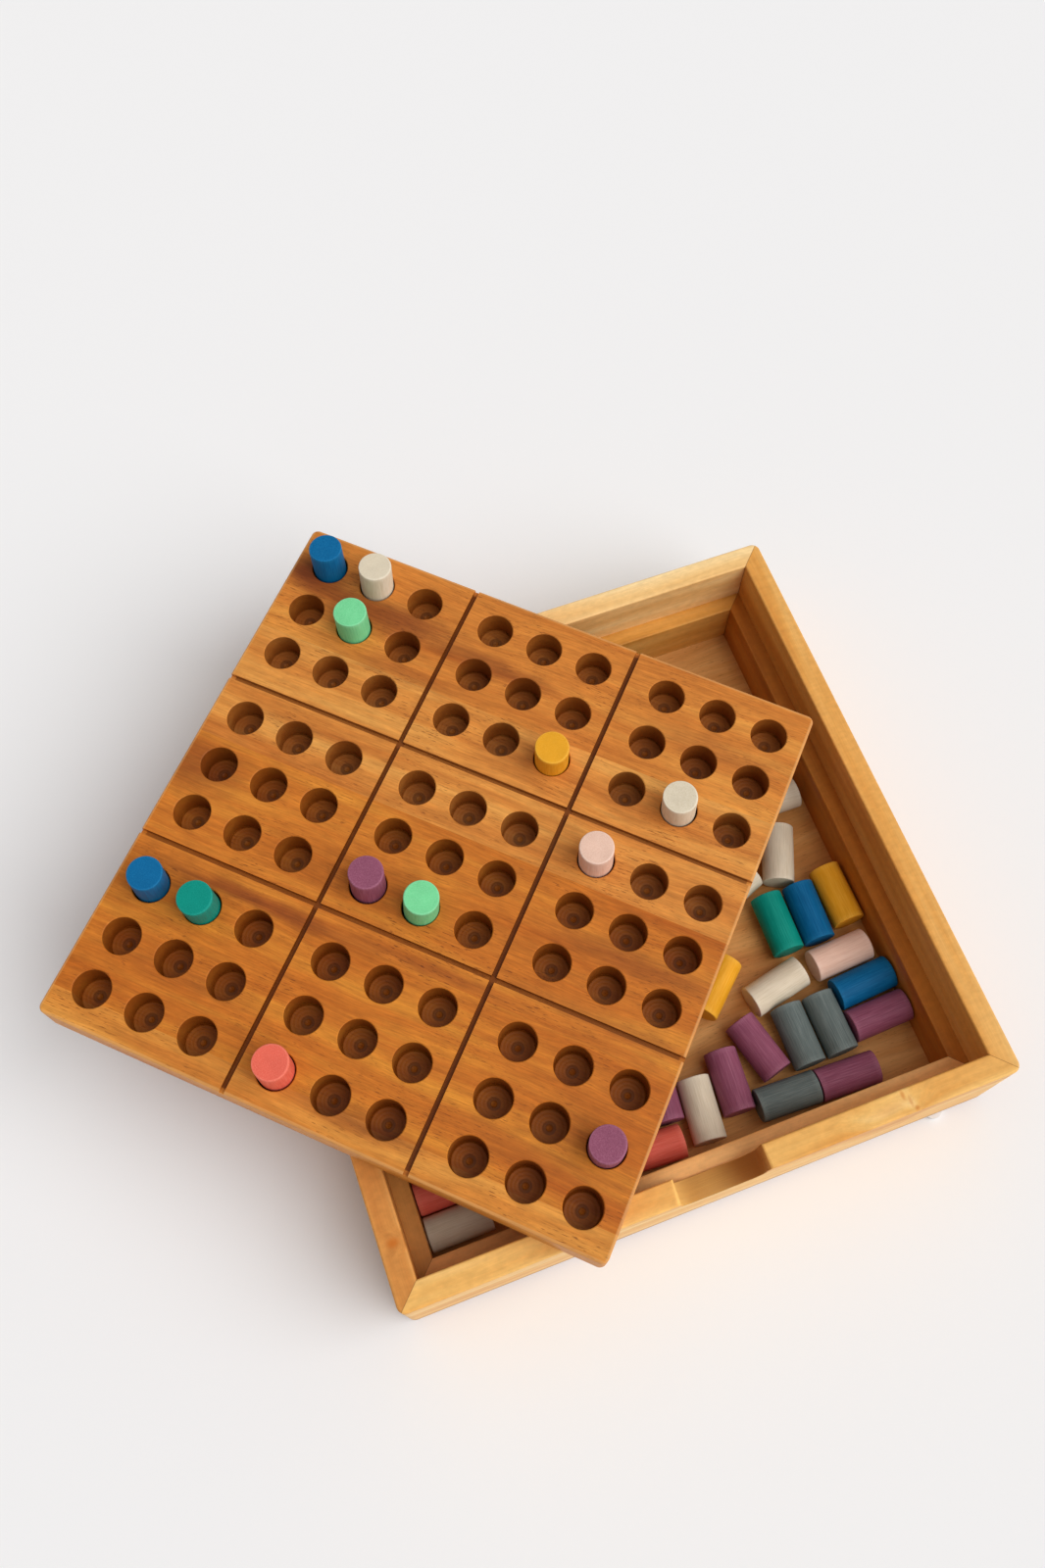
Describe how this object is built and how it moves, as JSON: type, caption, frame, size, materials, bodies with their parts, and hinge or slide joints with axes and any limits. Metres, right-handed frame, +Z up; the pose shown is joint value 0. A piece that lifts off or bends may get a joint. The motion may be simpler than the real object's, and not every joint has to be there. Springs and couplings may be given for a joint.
{
  "type": "wooden sudoku board",
  "caption": "Wooden peg sudoku: a shallow pine tray with ledges, a finger notch and a lid-like board with grooved blocks of holes, and painted dowel pegs.",
  "frame": {"origin": "centre of the tray's plywood underside", "axes": "+Z up out of the open tray, +X to the right along the front wall with the finger notch, +Y to the back wall"},
  "size_m": [0.2983, 0.2806, 0.0768],
  "materials": {
    "plywood": "satin clear lacquer on birch plywood",
    "tray_pine": "satin clear varnish on pine",
    "ledge_pine": "satin clear varnish on pine",
    "clear_bumper": "clear soft polyurethane",
    "board_wood": "satin warm varnish on edge-glued hardwood",
    "blue_paint": "thin satin paint on a wooden dowel",
    "cream_paint": "thin satin paint on a wooden dowel",
    "light_green_paint": "thin satin paint on a wooden dowel",
    "yellow_paint": "thin satin paint on a wooden dowel",
    "pink_paint": "thin satin paint on a wooden dowel",
    "plum_paint": "thin satin paint on a wooden dowel",
    "teal_paint": "thin satin paint on a wooden dowel",
    "coral_paint": "thin satin paint on a wooden dowel",
    "grey_paint": "thin satin paint on a wooden dowel"
  },
  "bodies": {
    "tray": {"tray_base": "plywood", "tray_front_wall": "tray_pine", "tray_right_wall": "tray_pine", "tray_back_wall": "tray_pine", "tray_left_wall": "tray_pine", "front_ledge_strip": "ledge_pine", "right_ledge_strip": "ledge_pine", "back_ledge_strip": "ledge_pine", "left_ledge_strip": "ledge_pine", "bumper_feet": "clear_bumper", "stored_blue_pegs": "blue_paint", "stored_cream_pegs": "cream_paint", "stored_light_green_pegs": "light_green_paint", "stored_yellow_pegs": "yellow_paint", "stored_pink_pegs": "pink_paint", "stored_plum_pegs": "plum_paint", "stored_teal_pegs": "teal_paint", "stored_coral_pegs": "coral_paint", "stored_grey_pegs": "grey_paint"},
    "board": {"board_stave_1": "board_wood", "board_stave_2": "board_wood", "board_stave_3": "board_wood", "board_stave_4": "board_wood", "board_stave_5": "board_wood"},
    "placed_blue_peg_1": {"placed_blue_peg_1": "blue_paint"},
    "placed_cream_peg_1": {"placed_cream_peg_1": "cream_paint"},
    "placed_light_green_peg_1": {"placed_light_green_peg_1": "light_green_paint"},
    "placed_yellow_peg_1": {"placed_yellow_peg_1": "yellow_paint"},
    "placed_cream_peg_2": {"placed_cream_peg_2": "cream_paint"},
    "placed_pink_peg_1": {"placed_pink_peg_1": "pink_paint"},
    "placed_plum_peg_1": {"placed_plum_peg_1": "plum_paint"},
    "placed_light_green_peg_2": {"placed_light_green_peg_2": "light_green_paint"},
    "placed_blue_peg_2": {"placed_blue_peg_2": "blue_paint"},
    "placed_teal_peg_1": {"placed_teal_peg_1": "teal_paint"},
    "placed_coral_peg_1": {"placed_coral_peg_1": "coral_paint"},
    "placed_plum_peg_2": {"placed_plum_peg_2": "plum_paint"},
    "loose_teal_peg_1": {"loose_teal_peg_1": "teal_paint"},
    "loose_blue_peg_1": {"loose_blue_peg_1": "blue_paint"},
    "loose_yellow_peg_1": {"loose_yellow_peg_1": "yellow_paint"},
    "loose_pink_peg_1": {"loose_pink_peg_1": "pink_paint"},
    "loose_blue_peg_2": {"loose_blue_peg_2": "blue_paint"},
    "loose_plum_peg_1": {"loose_plum_peg_1": "plum_paint"},
    "loose_grey_peg_1": {"loose_grey_peg_1": "grey_paint"},
    "loose_grey_peg_2": {"loose_grey_peg_2": "grey_paint"},
    "loose_plum_peg_2": {"loose_plum_peg_2": "plum_paint"},
    "loose_grey_peg_3": {"loose_grey_peg_3": "grey_paint"},
    "loose_plum_peg_3": {"loose_plum_peg_3": "plum_paint"},
    "loose_plum_peg_4": {"loose_plum_peg_4": "plum_paint"},
    "loose_cream_peg_1": {"loose_cream_peg_1": "cream_paint"},
    "loose_cream_peg_2": {"loose_cream_peg_2": "cream_paint"}
  },
  "joints": [
    {"name": "board_lift", "type": "slide", "parent": "tray", "child": "board", "axis": [0, 0, 1], "range_m": [0, 0.1]},
    {"name": "placed_blue_peg_1_lift", "type": "slide", "parent": "board", "child": "placed_blue_peg_1", "axis": [-0.0058, 0.0651, 0.9979], "range_m": [0, 0.04]},
    {"name": "placed_cream_peg_1_lift", "type": "slide", "parent": "board", "child": "placed_cream_peg_1", "axis": [0.0293, 0.0477, 0.9984], "range_m": [0, 0.04]},
    {"name": "placed_light_green_peg_1_lift", "type": "slide", "parent": "board", "child": "placed_light_green_peg_1", "axis": [-0.0146, 0.0098, 0.9998], "range_m": [0, 0.04]},
    {"name": "placed_yellow_peg_1_lift", "type": "slide", "parent": "board", "child": "placed_yellow_peg_1", "axis": [-0.0231, -0.0496, 0.9985], "range_m": [0, 0.04]},
    {"name": "placed_cream_peg_2_lift", "type": "slide", "parent": "board", "child": "placed_cream_peg_2", "axis": [-0.0388, 0.001, 0.9992], "range_m": [0, 0.04]},
    {"name": "placed_pink_peg_1_lift", "type": "slide", "parent": "board", "child": "placed_pink_peg_1", "axis": [-0.0147, 0.0139, 0.9998], "range_m": [0, 0.04]},
    {"name": "placed_plum_peg_1_lift", "type": "slide", "parent": "board", "child": "placed_plum_peg_1", "axis": [0.03, 0.0233, 0.9993], "range_m": [0, 0.04]},
    {"name": "placed_light_green_peg_2_lift", "type": "slide", "parent": "board", "child": "placed_light_green_peg_2", "axis": [0.0502, -0.0476, 0.9976], "range_m": [0, 0.04]},
    {"name": "placed_blue_peg_2_lift", "type": "slide", "parent": "board", "child": "placed_blue_peg_2", "axis": [0.0311, -0.0175, 0.9994], "range_m": [0, 0.04]},
    {"name": "placed_teal_peg_1_lift", "type": "slide", "parent": "board", "child": "placed_teal_peg_1", "axis": [-0.0191, -0.0495, 0.9986], "range_m": [0, 0.04]},
    {"name": "placed_coral_peg_1_lift", "type": "slide", "parent": "board", "child": "placed_coral_peg_1", "axis": [0.0119, 0.0126, 0.9998], "range_m": [0, 0.04]},
    {"name": "placed_plum_peg_2_lift", "type": "slide", "parent": "board", "child": "placed_plum_peg_2", "axis": [-0.0297, -0.0355, 0.9989], "range_m": [0, 0.04]},
    {"name": "loose_teal_peg_1_lift", "type": "slide", "parent": "tray", "child": "loose_teal_peg_1", "axis": [0, 0, 1], "range_m": [0, 0.08]},
    {"name": "loose_blue_peg_1_lift", "type": "slide", "parent": "tray", "child": "loose_blue_peg_1", "axis": [0, 0, 1], "range_m": [0, 0.08]},
    {"name": "loose_yellow_peg_1_lift", "type": "slide", "parent": "tray", "child": "loose_yellow_peg_1", "axis": [0, 0, 1], "range_m": [0, 0.08]},
    {"name": "loose_pink_peg_1_lift", "type": "slide", "parent": "tray", "child": "loose_pink_peg_1", "axis": [0, 0, 1], "range_m": [0, 0.08]},
    {"name": "loose_blue_peg_2_lift", "type": "slide", "parent": "tray", "child": "loose_blue_peg_2", "axis": [0, 0, 1], "range_m": [0, 0.08]},
    {"name": "loose_plum_peg_1_lift", "type": "slide", "parent": "tray", "child": "loose_plum_peg_1", "axis": [0, 0, 1], "range_m": [0, 0.08]},
    {"name": "loose_grey_peg_1_lift", "type": "slide", "parent": "tray", "child": "loose_grey_peg_1", "axis": [0, 0, 1], "range_m": [0, 0.08]},
    {"name": "loose_grey_peg_2_lift", "type": "slide", "parent": "tray", "child": "loose_grey_peg_2", "axis": [0, 0, 1], "range_m": [0, 0.08]},
    {"name": "loose_plum_peg_2_lift", "type": "slide", "parent": "tray", "child": "loose_plum_peg_2", "axis": [0, 0, 1], "range_m": [0, 0.08]},
    {"name": "loose_grey_peg_3_lift", "type": "slide", "parent": "tray", "child": "loose_grey_peg_3", "axis": [0, 0, 1], "range_m": [0, 0.08]},
    {"name": "loose_plum_peg_3_lift", "type": "slide", "parent": "tray", "child": "loose_plum_peg_3", "axis": [0, 0, 1], "range_m": [0, 0.08]},
    {"name": "loose_plum_peg_4_lift", "type": "slide", "parent": "tray", "child": "loose_plum_peg_4", "axis": [0, 0, 1], "range_m": [0, 0.08]},
    {"name": "loose_cream_peg_1_lift", "type": "slide", "parent": "tray", "child": "loose_cream_peg_1", "axis": [0, 0, 1], "range_m": [0, 0.08]},
    {"name": "loose_cream_peg_2_lift", "type": "slide", "parent": "tray", "child": "loose_cream_peg_2", "axis": [0, 0, 1], "range_m": [0, 0.08]}
  ]
}
